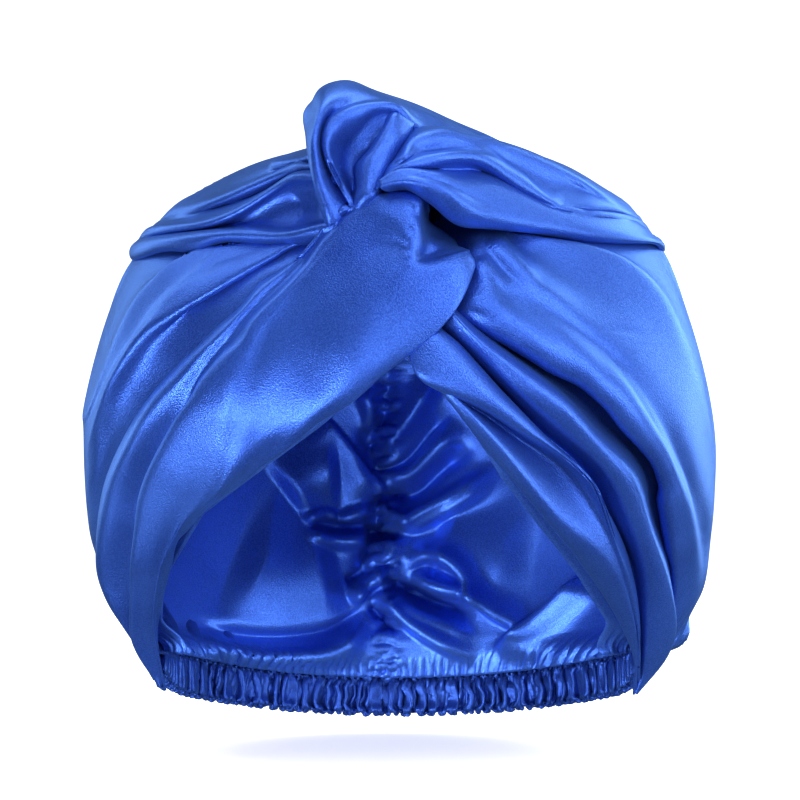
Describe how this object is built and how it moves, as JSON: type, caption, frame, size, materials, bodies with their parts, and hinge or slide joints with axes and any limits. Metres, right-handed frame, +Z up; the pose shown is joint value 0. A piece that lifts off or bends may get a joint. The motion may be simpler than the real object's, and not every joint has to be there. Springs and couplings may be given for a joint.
{
  "type": "twist-front satin nightcap",
  "caption": "Roomy satin sleep turban with crossed front bands, a standing twist over the forehead, a ruched lining and a gathered elastic casing at the nape.",
  "frame": {"origin": "where the top of the wearer's head meets the lining", "axes": "+Z up along the head, the face opening looks along -Y, +X to the right in the front view"},
  "size_m": [0.2359, 0.2429, 0.2426],
  "materials": {
    "satin_outer": "royal blue satin, glossy face",
    "satin_lining": "royal blue satin, inner layer",
    "satin_casing": "royal blue satin, tightly gathered over elastic"
  },
  "bodies": {
    "root": {"cap_body": "satin_outer", "lining": "satin_lining", "nape_casing": "satin_casing", "band_right": "satin_outer", "band_left": "satin_outer", "over_wrap_left": "satin_outer", "over_wrap_right": "satin_outer", "twist_lobe": "satin_outer"}
  },
  "joints": []
}
